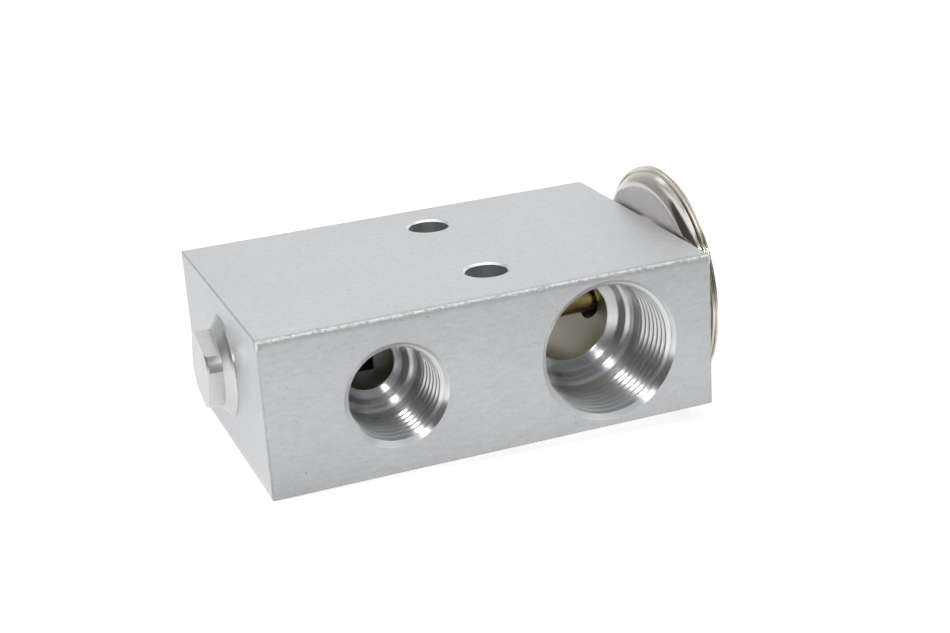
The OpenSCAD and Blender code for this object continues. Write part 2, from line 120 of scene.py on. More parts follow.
@dataclass(frozen=True)
class Port:
    """One threaded port. Its place and thread come from the record's mount of the same name."""

    name: str
    side: Side
    finish: str
    steps: Steps
    mouth_chamfer: float = 0.5

    @property
    def centre_x(self) -> float:
        """Place of the port's axis along X."""
        return to_mm(MOUNTS[self.name]["pos_m"])[0]

    @property
    def wall_radius(self) -> float:
        """Radius of the tapped wall at the root of the thread."""
        return MOUNTS[self.name]["dims"]["r_mm"]

    @property
    def depth(self) -> float:
        """Depth below the block's face at which the tapped wall ends."""
        return MOUNTS[self.name]["dims"]["length_mm"] + self.mouth_chamfer

    def around(self, depth: np.ndarray, radius: np.ndarray, turn: np.ndarray) -> np.ndarray:
        """Points on circles round the port's axis.

        Seen from outside, a point lies right of the axis by its radius times the turn's cosine, and below
        it by its radius times the turn's sine.

        Args:
            depth: depths below the block's face.
            radius: distances from the axis.
            turn: angles round the axis, as a column.

        Returns:
            Places in metres, one row a point.
        """
        out = float(self.side.value)
        face_y = VALVE.low[1] if self.side is Side.FRONT else VALVE.high[1]
        x = self.centre_x - out * radius * np.cos(turn)
        y = np.broadcast_to(face_y - out * depth, x.shape)
        z = -radius * np.sin(turn)
        return np.stack([x, y, z], axis=-1).reshape(-1, 3) * MM


# Depth and radius of each corner between the tapped wall and the drilling
LIQUID_STEPS: Steps = ((11.4, 7.22), (11.95, 6.8), (12.25, 6.2),
                       (13.75, 5.5), (14.2, 4.98), (14.576, 4.42))
SUCTION_STEPS: Steps = ((12.5, 10.39), (13.2, 9.84), (13.45, 9.25),
                        (15.0, 8.65), (15.35, 7.95), (15.692, 6.95))
PORTS = (
    Port("liquid_inlet", Side.FRONT, "liquid_inlet_bored", LIQUID_STEPS),
    Port("liquid_outlet", Side.BACK, "liquid_outlet_bored", LIQUID_STEPS),
    Port("suction_outlet", Side.FRONT, "suction_bored", SUCTION_STEPS),
    Port("suction_inlet", Side.BACK, "suction_bored", SUCTION_STEPS),
)


# Node graphs for the finishes


class Graph:
    """Builds the node tree of one material or world with short calls."""

    NUMBER_RESULTS = ("LENGTH", "DISTANCE", "DOT_PRODUCT")

    def __init__(self, tree: bpy.types.NodeTree) -> None:
        """Starts from an empty tree.

        Args:
            tree: the node tree to fill.
        """
        self.tree = tree
        tree.nodes.clear()

    def add(self, kind: str, inputs: dict[Any, Source] | None = None, **settings: Any) -> bpy.types.Node:
        """Adds a node.

        Args:
            kind: Blender's name of the node type.
            inputs: value or source socket for each input, by name or number.
            settings: properties of the node itself.

        Returns:
            The new node.
        """
        node = self.tree.nodes.new(kind)
        for name, value in settings.items():
            setattr(node, name, value)
        for key, value in (inputs or {}).items():
            self.feed(node.inputs[key], value)
        return node

    def feed(self, target: Socket, value: Source) -> None:
        """Sets an input to a value, or links it when the value is a socket.

        Args:
            target: the input.
            value: its number, vector or colour, or the socket to link.
        """
        if isinstance(value, Socket):
            self.tree.links.new(value, target)
        elif isinstance(value, tuple) and target.type == "RGBA":
            target.default_value = (*value, 1.0)
        else:
            target.default_value = value

    def millimetres(self) -> Socket:
        """Object coordinates in millimetres.

        Returns:
            The place as a vector.
        """
        return self.stretched(self.add("ShaderNodeTexCoord").outputs["Object"], (1 / MM, 1 / MM, 1 / MM))

    def vector(self, operation: str, first: Source, *second: Source) -> Socket:
        """A vector operation, such as SUBTRACT or LENGTH.

        Args:
            operation: Blender's name of the operation.
            first: the first vector.
            second: the second vector, where there is one.

        Returns:
            The result, a vector or a number.
        """
        inputs = dict(enumerate((first, *second)))
        node = self.add("ShaderNodeVectorMath", inputs, operation=operation)
        return node.outputs["Value" if operation in self.NUMBER_RESULTS else "Vector"]

    def math(self, operation: str, first: Source, second: Source) -> Socket:
        """A number operation, such as ADD, MAXIMUM or GREATER_THAN.

        Args:
            operation: Blender's name of the operation.
            first: the first number.
            second: the second number.

        Returns:
            The result.
        """
        return self.add("ShaderNodeMath", {0: first, 1: second}, operation=operation).outputs[0]

    def product(self, first: Source, *others: Source) -> Source:
        """Numbers multiplied with each other, so that masks hold only where all of them do.

        Args:
            first: the first number.
            others: the other numbers.

        Returns:
            Their product.
        """
        result = first
        for other in others:
            result = self.math("MULTIPLY", result, other)
        return result

    def noise(self, place: Source, scale: float, detail: float = 3.0, roughness: float = 0.5,
              rings: bool = False) -> Socket:
        """Smooth noise between 0 and 1.

        Args:
            place: where it is read: a place, or one distance for rings.
            scale: waves a millimetre.
            detail: number of finer layers.
            roughness: strength of the finer layers.
            rings: whether the noise changes with one distance only.

        Returns:
            The noise at the place.
        """
        inputs = {"W" if rings else "Vector": place, "Scale": scale, "Detail": detail, "Roughness": roughness}
        return self.add("ShaderNodeTexNoise", inputs, noise_dimensions="1D" if rings else "3D").outputs["Fac"]

    def stretched(self, place: Source, stretch: Point) -> Socket:
        """A place scaled by its own factor along each axis.

        Args:
            place: the place.
            stretch: the three factors. A factor of 0 flattens that axis.

        Returns:
            The scaled place.
        """
        return self.vector("MULTIPLY", place, stretch)

    def span(self, value: Source, low: float, high: float,
             to_low: float = 0.0, to_high: float = 1.0) -> Socket:
        """A number moved from one range to another and held inside it.

        Args:
            value: the number.
            low: value that gives to_low.
            high: value that gives to_high.
            to_low: start of the new range.
            to_high: end of the new range.

        Returns:
            The moved number.
        """
        inputs = {"Value": value, "From Min": low, "From Max": high, "To Min": to_low, "To Max": to_high}
        return self.add("ShaderNodeMapRange", inputs, clamp=True).outputs["Result"]

    def between(self, factor: Source, first: Source, second: Source) -> Socket:
        """A mix of two numbers.

        Args:
            factor: 0 for the first, 1 for the second.
            first: the first number.
            second: the second number.

        Returns:
            The mix.
        """
        return self.add("ShaderNodeMix", {0: factor, 2: first, 3: second}).outputs[0]

    def blend(self, factor: Source, first: Source, second: Source) -> Socket:
        """A mix of two colours.

        Args:
            factor: 0 for the first, 1 for the second.
            first: the first colour.
            second: the second colour.

        Returns:
            The mix.
        """
        return self.add("ShaderNodeMix", {0: factor, 6: first, 7: second}, data_type="RGBA").outputs[2]

    def parts(self, place: Source) -> tuple[Socket, Socket, Socket]:
        """The three numbers of a vector.

        Args:
            place: the vector.

        Returns:
            Its X, Y and Z.
        """
        x, y, z = self.add("ShaderNodeSeparateXYZ", {0: place}).outputs
        return x, y, z

    def bump(self, height: Source, distance: float) -> Socket:
        """A normal bent by a relief.

        Args:
            height: height of the relief, about 0 to 1.
            distance: height in millimetres that 1 stands for.

        Returns:
            The bent normal.
        """
        return self.add("ShaderNodeBump", {"Height": height, "Distance": distance * MM}).outputs["Normal"]

    def surface(self, inputs: dict[str, Source]) -> None:
        """Ends the tree with a Principled surface.

        Args:
            inputs: value or source socket for each input of the shader.
        """
        shader = self.add("ShaderNodeBsdfPrincipled", inputs)
        self.add("ShaderNodeOutputMaterial", {"Surface": shader.outputs[0]})

    def by_ray(self, camera: bpy.types.Node, mirror: bpy.types.Node, other: bpy.types.Node) -> bpy.types.Node:
        """A shader for each kind of ray.

        Args:
            camera: the shader that the camera sees.
            mirror: the shader that mirrors and glass show.
            other: the shader that lights matt surfaces.

        Returns:
            The node that picks between them.
        """
        path = self.add("ShaderNodeLightPath").outputs
        mirrored = self.math("MAXIMUM", path["Is Glossy Ray"], path["Is Transmission Ray"])
        unseen = self.add("ShaderNodeMixShader", {0: mirrored, 1: other.outputs[0], 2: mirror.outputs[0]})
        return self.add("ShaderNodeMixShader", {0: path["Is Camera Ray"], 1: unseen.outputs[0],
                                                2: camera.outputs[0]})


def new_material(name: str) -> tuple[bpy.types.Material, Graph]:
    """A fresh material and the graph that fills it.

    Args:
        name: name of the material.

    Returns:
        The material and its graph.
    """
    material = bpy.data.materials.new(name)
    material.use_nodes = True
    return material, Graph(material.node_tree)


# Finishes


@dataclass(frozen=True)
class TurnedMetal:
    """Bare metal with fine tool marks, cloudy gloss and a little colour change."""

    name: str
    colour: Colour
    shade: Colour
    roughness: float
    spread: float = 0.05
    marks: Point = (1.0, 6.0, 6.0)
    mark_scale: float = 3.0
    mark_depth: float = 0.004
    metallic: float = 1.0
    cloud_scale: float = 0.35
    cloud_range: Range = (0.35, 0.68)
    wear_range: Range = (0.7, 1.3)

    def build(self) -> bpy.types.Material:
        """Makes the material.

        Returns:
            The finished material.
        """
        material, graph = new_material(self.name)
        place = graph.millimetres()
        marks = graph.noise(graph.stretched(place, self.marks), self.mark_scale, 4.0, 0.6)
        cloud = graph.noise(place, self.cloud_scale)
        wear = graph.math("ADD", marks, cloud)
        roughness = (self.roughness - self.spread, self.roughness + self.spread)
        graph.surface({
            "Base Color": graph.blend(graph.span(cloud, *self.cloud_range), self.colour, self.shade),
            "Metallic": self.metallic,
            "Roughness": graph.span(wear, *self.wear_range, *roughness),
            "Normal": graph.bump(marks, self.mark_depth),
        })
        return material


@dataclass(frozen=True)
class BoredMetal:
    """Bright aluminium cut by a turning tool, whose rings draw each light into a line along the port."""

    name: str
    centre_x: float
    colour: Colour = (0.9, 0.905, 0.91)
    shade: Colour = (0.82, 0.825, 0.835)
    roughness: float = 0.31
    spread: float = 0.015
    stretch: float = 0.93
    quarter_turn: float = 0.25
    ring_scale: float = 5.0
    ring_depth: float = 0.0008
    tone_range: Range = (0.4, 0.62)
    cloud_scale: float = 0.25
    cloud_range: Range = (0.3, 0.7)

    def build(self) -> bpy.types.Material:
        """Makes the material. The tool's direction runs round the port's own axis.

        Returns:
            The finished material.
        """
        material, graph = new_material(self.name)
        place = graph.millimetres()
        from_axis = graph.vector("SUBTRACT", place, (self.centre_x, 0.0, 0.0))
        _, along, _ = graph.parts(place)
        rings = graph.noise(along, self.ring_scale, 4.0, 0.7, rings=True)
        cloud = graph.noise(place, self.cloud_scale, 2.0)
        mixed = graph.math("ADD", graph.product(rings, 0.8), graph.product(cloud, 0.2))
        tone = graph.span(mixed, *self.tone_range)
        roughness = (self.roughness - self.spread, self.roughness + self.spread)
        graph.surface({
            "Base Color": graph.blend(tone, self.colour, self.shade),
            "Metallic": 1.0,
            "Roughness": graph.span(cloud, *self.cloud_range, *roughness),
            "Anisotropic": self.stretch,
            "Anisotropic Rotation": self.quarter_turn,
            "Tangent": graph.vector("CROSS_PRODUCT", from_axis, (0.0, 1.0, 0.0)),
            "Normal": graph.bump(rings, self.ring_depth),
        })
        return material


@dataclass(frozen=True)
class SpunMetal:
    """Pressed stainless sheet with marks that run round the valve axis, a darker shoulder painted as shade
    for the darker things it mirrors, and a warm tint at the welded rim.
    """

    name: str
    colour: Colour
    shoulder_shade_colour: Colour
    rim_colour: Colour
    rim_from: float
    roughness: float
    rim_blend: float = 0.5
    rim_wave: float = 0.5
    wave_scale: float = 0.22
    flat_radius: float = 16.4
    flat_roughness: float = 0.4
    ring_scale: float = 4.0
    ring_depth: float = 0.002

    def build(self) -> bpy.types.Material:
        """Makes the material. The rings come from the distance to the valve axis.

        Returns:
            The finished material.
        """
        material, graph = new_material(self.name)
        place = graph.millimetres()
        centred = graph.vector("SUBTRACT", place, (0.0, VALVE.axis_y, VALVE.axis_z))
        radius = graph.vector("LENGTH", graph.stretched(centred, (0.0, 1.0, 1.0)))
        wave = graph.product(graph.noise(place, self.wave_scale), self.rim_wave)
        rim = graph.span(graph.math("ADD", radius, wave), self.rim_from, self.rim_from + self.rim_blend)
        # Painted shade: the shoulder outside the flat is darker than the flat.
        shoulder_shade = graph.span(radius, self.flat_radius - 0.4, self.flat_radius + 0.6)
        gloss = graph.span(radius, self.flat_radius - 0.6, self.flat_radius + 0.5,
                           self.flat_roughness, self.roughness)
        rings = graph.noise(radius, self.ring_scale, rings=True)
        height = graph.math("ADD", rings, graph.product(graph.noise(place, 6.0, 2.0), 0.4))
        colour = graph.blend(shoulder_shade, self.colour, self.shoulder_shade_colour)
        graph.surface({
            "Base Color": graph.blend(rim, colour, self.rim_colour),
            "Metallic": 1.0,
            "Roughness": gloss,
            "Normal": graph.bump(height, self.ring_depth),
        })
        return material


class BlockNoise:
    """Noises that the block's finish is mixed from, each between 0 and 1."""

    def __init__(self, graph: Graph, place: Source) -> None:
        """Makes the noises.

        Args:
            graph: the material's graph.
            place: the place in millimetres.
        """
        self.ragged = graph.noise(place, scale=1.6, detail=4.0, roughness=0.7)
        self.chipped = graph.noise(place, scale=1.2, detail=5.0, roughness=0.75)
        self.streaks = graph.noise(graph.stretched(place, (0.6, 1.5, 1.5)), 1.1, detail=4.0, roughness=0.7)
        self.grain = graph.noise(place, scale=2.4, detail=5.0, roughness=0.75)
        self.fine = graph.noise(place, scale=9.0, detail=2.0, roughness=0.6)
        self.cloud = graph.noise(place, scale=0.07)
        self.specks = graph.noise(place, scale=1.3, detail=2.0)


@dataclass(frozen=True)
class BlockZones:
    """Masks between 0 and 1 for the block's zones, and the distance to the nearest edge in millimetres."""

    from_edge: Socket
    top_front: Socket
    burr: Socket
    inside: Socket
    passage: Socket
    drilling: Socket
    bolt_rim: Socket


@dataclass(frozen=True)
class SatinBlock:
    """Grainy satin aluminium outside with burred edges, and duller metal in the drillings, painted darker as
    shade.

    Lengths are in millimetres. The burrs are strongest on the top front edge, where their bright colour is
    partly a painted highlight.
    """

    name: str
    colour: Colour
    shade: Colour
    burr_and_highlight_colour: Colour
    speck_and_shade_colour: Colour
    hole_shade_colour: Colour
    passage_shade_colour: Colour
    drilling_shade_colour: Colour
    bolt_rim_highlight: Colour
    tone_range: Range = (0.36, 0.64)
    cloud_range: Range = (0.35, 0.75)
    cloud_strength: float = 0.35
    speck_level: float = 0.745
    speck_strength: float = 0.4
    edge_zone: float = 1.4
    edge_shade_width: Range = (0.6, 1.25)
    edge_shade_strength: float = 0.3
    burr_noise: Range = (0.36, 0.66)
    burr_width: Range = (0.2, 0.66)
    burr_blend: Range = (-0.05, 0.22)
    burr_strength: Range = (0.28, 1.0)
    sparkle_noise: Range = (0.35, 0.6)
    sparkle: Range = (0.45, 1.0)
    chip_noise: Range = (0.5, 0.68)
    chip_width: float = 0.55
    chip_strength: Range = (0.12, 0.45)
    least_inside: float = 0.23
    passage_radius: float = 7.3
    drilling_radius: float = 4.6
    bolt_rim_radius: float = 4.1
    bolt_rim_depths: Range = (0.02, 0.6)
    satin_noise: Range = (0.75, 1.25)
    satin_gloss: Range = (0.4, 0.52)
    burr_gloss: float = 0.3
    plain_edge: float = 0.3
    plain_edge_gloss: float = 0.75
    hole_gloss: float = 0.5
    passage_gloss: float = 0.42
    bolt_rim_gloss: float = 0.24
    burr_relief: float = 2.2
    hole_relief: float = 0.5
    relief: float = 0.045

    def from_faces(self, graph: Graph, place: Source) -> tuple[Socket, Socket]:
        """Distances inwards from the outer faces: to the nearest face, and to the nearest edge.

        Each axis has the distance from the nearer of its two faces. The least of the three belongs to the
        nearest face, and the middle one to the nearest edge.

        Args:
            graph: the material's graph.
            place: the place in millimetres.

        Returns:
            The least and the middle distance.
        """
        lowest, highest = np.array(VALVE.low), np.array(VALVE.high)
        centre, half = tuple((lowest + highest) / 2), tuple((highest - lowest) / 2)
        centred = graph.vector("ABSOLUTE", graph.vector("SUBTRACT", place, centre))
        x, y, z = graph.parts(graph.vector("SUBTRACT", half, centred))
        low = graph.math("MINIMUM", x, y)
        high = graph.math("MAXIMUM", x, y)
        return graph.math("MINIMUM", low, z), graph.math("MAXIMUM", low, graph.math("MINIMUM", high, z))

    def round_hole(self, graph: Graph, place: Source, centre_x: float, reach: float) -> Socket:
        """1 inside a cylinder along Y.

        Args:
            graph: the material's graph.
            place: the place in millimetres.
            centre_x: place of the cylinder's middle along X.
            reach: radius of the cylinder.

        Returns:
            The mask.
        """
        across = graph.stretched(graph.vector("SUBTRACT", place, (centre_x, 0.0, 0.0)), (1.0, 0.0, 1.0))
        return graph.math("LESS_THAN", graph.vector("LENGTH", across), reach)

    def zones(self, graph: Graph, place: Source, noise: BlockNoise) -> BlockZones:
        """Tells the zones apart by their distances from the faces and from the holes' axes.

        What lies on no outer face is a hole. A burr is a ragged band along an edge.

        Args:
            graph: the material's graph.
            place: the place in millimetres.
            noise: the block's noises.

        Returns:
            The zones.
        """
        from_face, from_edge = self.from_faces(graph, place)
        _, ahead, upward = graph.parts(place)
        top_front = graph.product(graph.math("LESS_THAN", ahead, VALVE.low[1] + self.edge_zone),
                                  graph.math("GREATER_THAN", upward, VALVE.high[2] - self.edge_zone))
        reach = graph.span(noise.ragged, *self.burr_noise, *self.burr_width)
        burr = graph.span(graph.math("SUBTRACT", reach, from_edge), *self.burr_blend)

        inlet, outlet, suction, _ = PORTS
        drillings = [self.round_hole(graph, place, port.centre_x, self.drilling_radius)
                     for port in (inlet, outlet)]

        bolt_y = MOUNTS["clamp_bolts"]["dims"]["spacing_y_mm"] / 2
        folded = graph.stretched(graph.vector("ABSOLUTE", place), (1.0, 1.0, 0.0))
        from_bolt = graph.vector("DISTANCE", folded, (0.0, bolt_y, 0.0))
        shallow, deep = self.bolt_rim_depths
        return BlockZones(
            from_edge=from_edge,
            top_front=top_front,
            burr=graph.product(burr, graph.between(top_front, *self.burr_strength)),
            inside=graph.math("GREATER_THAN", from_face, self.least_inside),
            passage=self.round_hole(graph, place, suction.centre_x, self.passage_radius),
            drilling=graph.math("MAXIMUM", *drillings),
            bolt_rim=graph.product(graph.math("LESS_THAN", from_bolt, self.bolt_rim_radius),
                                   graph.math("GREATER_THAN", from_face, shallow),
                                   graph.math("LESS_THAN", from_face, deep)),
        )

    def tint(self, graph: Graph, zones: BlockZones, noise: BlockNoise) -> Socket:
        """Colour: satin faces with specks, painted shade just inside the top front edge, bright burrs at the
        edges that are partly a painted highlight, holes darkened with painted shade, and a painted highlight
        on the bolt holes' rims.

        Args:
            graph: the material's graph.
            zones: the block's zones.
            noise: the block's noises.

        Returns:
            The colour.
        """
        mixed = graph.math("ADD", graph.product(noise.grain, 0.5), graph.product(noise.streaks, 0.5))
        tone = graph.span(mixed, *self.tone_range)
        colour = graph.blend(tone, self.shade, self.colour)
        cloud = graph.span(noise.cloud, *self.cloud_range, 0.0, self.cloud_strength)
        colour = graph.blend(cloud, colour, self.shade)
        specks = graph.math("GREATER_THAN", noise.specks, self.speck_level)
        colour = graph.blend(graph.product(specks, self.speck_strength), colour, self.speck_and_shade_colour)

        # Painted shade: a darker band just inside the top front edge, in the specks' dark colour.
        edge_shade = graph.span(zones.from_edge, *self.edge_shade_width, self.edge_shade_strength, 0.0)
        colour = graph.blend(graph.product(zones.top_front, edge_shade), colour, self.speck_and_shade_colour)
        # Bright burrs along the edges, strongest on the top front edge: partly torn metal, partly a painted
        # highlight.
        sparkle = graph.span(noise.fine, *self.sparkle_noise, *self.sparkle)
        colour = graph.blend(graph.product(zones.burr, sparkle), colour, self.burr_and_highlight_colour)
        chip_reach = graph.span(noise.chipped, *self.chip_noise, 0.0, self.chip_width)
        chips = graph.product(graph.math("LESS_THAN", zones.from_edge, chip_reach),
                              graph.between(zones.top_front, *self.chip_strength))
        colour = graph.blend(chips, colour, self.speck_and_shade_colour)

        # Painted shade: the holes, the passage and the drillings are darker than the faces; the passage also
        # has an olive tint.
        hole = graph.blend(zones.passage, self.hole_shade_colour, self.passage_shade_colour)
        hole = graph.blend(zones.drilling, hole, self.drilling_shade_colour)
        colour = graph.blend(graph.math("MAXIMUM", zones.inside, zones.bolt_rim), colour, hole)
        # Painted highlight: the rims of the bolt holes are brighter than the faces.
        return graph.blend(zones.bolt_rim, colour, self.bolt_rim_highlight)

    def gloss(self, graph: Graph, zones: BlockZones, noise: BlockNoise) -> Socket:
        """Roughness: satin faces, smoother burrs, dull plain edges, and the holes.

        Args:
            graph: the material's graph.
            zones: the block's zones.
            noise: the block's noises.

        Returns:
            The roughness.
        """
        satin = graph.span(graph.math("ADD", noise.grain, noise.fine), *self.satin_noise, *self.satin_gloss)
        gloss = graph.between(zones.burr, satin, self.burr_gloss)
        edge = graph.math("LESS_THAN", zones.from_edge, graph.between(zones.top_front, self.plain_edge, 0.0))
        gloss = graph.between(edge, gloss, self.plain_edge_gloss)
        bored = graph.math("MAXIMUM", zones.passage, zones.drilling)
        gloss = graph.between(zones.inside, gloss, graph.between(bored, self.hole_gloss, self.passage_gloss))
        return graph.between(zones.bolt_rim, gloss, self.bolt_rim_gloss)

    def height(self, graph: Graph, zones: BlockZones, noise: BlockNoise) -> Socket:
        """Relief: fine grain on the faces, torn metal on the burrs, and soft streaks in the holes.

        Args:
            graph: the material's graph.
            zones: the block's zones.
            noise: the block's noises.

        Returns:
            The height of the relief.
        """
        height = graph.math("ADD", graph.product(noise.grain, 0.8), graph.product(noise.fine, 0.35))
        height = graph.between(zones.burr, height, graph.product(noise.ragged, self.burr_relief))
        return graph.between(zones.inside, height, graph.product(noise.streaks, self.hole_relief))

    def build(self) -> bpy.types.Material:
        """Makes the material.

        Returns:
            The finished material.
        """
        material, graph = new_material(self.name)
        place = graph.millimetres()
        noise = BlockNoise(graph, place)
        zones = self.zones(graph, place, noise)
        graph.surface({
            "Base Color": self.tint(graph, zones, noise),
            "Metallic": 1.0,
            "Roughness": self.gloss(graph, zones, noise),
            "Normal": graph.bump(self.height(graph, zones, noise), self.relief),
        })
        return material


@dataclass(frozen=True)
class Moulded:
    """Rubber or plastic with a fine grain."""

    name: str
    colour: Colour
    shade: Colour
    roughness: float
    spread: float = 0.06
    grain_scale: float = 9.0
    grain_range: Range = (0.3, 0.7)
    grain_depth: float = 0.01

    def build(self) -> bpy.types.Material:
        """Makes the material.

        Returns:
            The finished material.
        """
        material, graph = new_material(self.name)
        grain = graph.noise(graph.millimetres(), self.grain_scale)
        roughness = (self.roughness - self.spread, self.roughness + self.spread)
        graph.surface({
            "Base Color": graph.blend(grain, self.colour, self.shade),
            "Roughness": graph.span(grain, *self.grain_range, *roughness),
            "Normal": graph.bump(grain, self.grain_depth),
        })
        return material


class Finishes:
    """Every finish of the valve, made once and shared."""

    def __init__(self) -> None:
        """Builds the materials."""
        self.block = SatinBlock(
            "block_aluminium",
            colour=(0.79, 0.795, 0.8),
            shade=(0.65, 0.655, 0.665),
            burr_and_highlight_colour=(0.9, 0.905, 0.91),
            speck_and_shade_colour=(0.22, 0.22, 0.22),
            hole_shade_colour=(0.62, 0.64, 0.64),
            passage_shade_colour=(0.42, 0.4, 0.33),
            drilling_shade_colour=(0.5, 0.5, 0.47),
            bolt_rim_highlight=(0.95, 0.95, 0.95),
        ).build()
        centres = {port.finish: port.centre_x for port in PORTS}
        self.bored = {name: BoredMetal(name, centre_x).build() for name, centre_x in centres.items()}
        self.plug = TurnedMetal("plug_metal", (0.74, 0.74, 0.74), (0.69, 0.695, 0.7), 0.25, spread=0.03,
                                marks=(6.0, 1.0, 1.0), metallic=0.72).build()
        self.cover = SpunMetal("head_stainless", (0.84, 0.81, 0.8), (0.64, 0.61, 0.56), (0.82, 0.77, 0.66),
                               rim_from=19.3, roughness=0.15).build()
        self.support = TurnedMetal("support_aluminium", (0.74, 0.75, 0.76), (0.68, 0.69, 0.7), 0.3).build()
        self.brass = TurnedMetal("brass", (0.83, 0.69, 0.3), (0.74, 0.6, 0.25), 0.22).build()
        self.bright = TurnedMetal("bright_steel", (0.74, 0.75, 0.76), (0.68, 0.69, 0.7), 0.12,
                                  spread=0.03).build()
        self.spring = TurnedMetal("spring_steel", (0.34, 0.345, 0.34), (0.26, 0.26, 0.25), 0.34).build()
        self.rubber = Moulded("seal_rubber", (0.018, 0.018, 0.02), (0.035, 0.035, 0.037), 0.5).build()
        self.washer = Moulded("washer_plastic", (0.83, 0.82, 0.78), (0.76, 0.75, 0.7), 0.45).build()


# Geometry


def mesh_piece(name: str, points: np.ndarray, faces: list[list[int]]) -> bpy.types.Object:
    """Makes a mesh object from whole arrays.

    Args:
        name: name of the piece.
        points: places in metres, one row a point.
        faces: corner numbers of each face.

    Returns:
        The object, linked to the scene.
    """
    mesh = bpy.data.meshes.new(name)
    mesh.from_pydata(points.tolist(), [], faces)
    mesh.validate()
    mesh.polygons.foreach_set("use_smooth", np.ones(len(mesh.polygons), bool))
    mesh.set_sharp_from_angle(angle=SHARP_ANGLE)
    mesh.update()
    piece = bpy.data.objects.new(name, mesh)
    bpy.context.scene.collection.objects.link(piece)
    return piece


def tube_faces(rings: int, sides: int) -> np.ndarray:
    """Quads of a tube swept through rings of points, numbered ring by ring.

    Args:
        rings: number of rings along the path.
        sides: number of points in a ring.

    Returns:
        Four corner numbers for each quad.
    """
    ring = np.arange(rings - 1)[:, None] * sides
    side = np.arange(sides)[None, :]
    after = (side + 1) % sides
    corners = [ring + side, ring + after, ring + sides + after, ring + sides + side]
    return np.stack([np.broadcast_to(c, (rings - 1, sides)) for c in corners], axis=-1).reshape(-1, 4)


@dataclass(frozen=True)
class PortThread:
    """The helical ridge of one port's thread, cut back by the cone of the mouth, in millimetres."""

    port: Port
    pitch: float = INCH / 18
    height: float = 0.7
    root_share: float = 0.44
    flank_angle: float = 30.0
    root_depth: float = 0.2
    first_depth: float = 0.1
    run_out: float = 0.7
    hidden_depth: float = 0.3
    hidden_squeeze: float = 0.3
    steps_per_turn: int = 180

    def section(self) -> tuple[np.ndarray, np.ndarray]:
        """The ridge's cross section: straight flanks, and a narrow crest with rounded edges.

        Returns:
            Distances along the port and heights above the wall, once around the section.
        """
        root_half = self.root_share * self.pitch
        crest_half = root_half - self.height * math.tan(math.radians(self.flank_angle))
        share = np.array([0.0, 0.3, 0.6, 0.86, 0.95])
        crest_inset = np.array([0.02, 0.09])
        crest_share = np.array([0.99, 1.0])
        along = np.concatenate([root_half + (crest_half - root_half) * share, crest_half - crest_inset])
        high = self.height * np.concatenate([share, crest_share])
        foot = root_half + 0.02
        along = np.concatenate([[foot], along, -along[::-1], [-foot]])
        high = np.concatenate([[-self.root_depth], high, high[::-1], [-self.root_depth]])
        return along, high

    def build(self) -> bpy.types.Object:
        """Sweeps the section along a right-hand helix.

        A point sits at the helix's depth plus its own distance along the port. Its radius is the wall's
        less its height, but never less than that of the cone which chamfers the mouth. Points that would
        lie in front of the block are drawn in behind the chamfer.

        Returns:
            The ridge as one closed piece.
        """
        along, high = self.section()
        turns = (self.port.depth + self.run_out - self.first_depth) / self.pitch
        angle = np.linspace(0.0, 2 * math.pi * turns, int(turns * self.steps_per_turn) + 1)[:, None]
        depth = self.first_depth + self.pitch * angle / (2 * math.pi) + along
        before = self.hidden_depth - depth
        depth = np.where(before > 0, self.hidden_depth - before * self.hidden_squeeze, depth)

        chamfer = self.port.mouth_chamfer
        cone = self.port.wall_radius + chamfer - depth + np.where(depth < chamfer, 0.03, 0.0)
        cone = cone + np.where(high < 0, 0.05, 0.0)
        points = self.port.around(depth, np.maximum(self.port.wall_radius - high, cone), angle)

        sides = len(along)
        last_ring = (len(angle) - 1) * sides
        caps = [list(range(sides)), list(range(last_ring, last_ring + sides))[::-1]]
        faces = tube_faces(len(angle), sides)[:, ::-1]
        return mesh_piece(f"{self.port.name}_thread", points, faces.tolist() + caps)


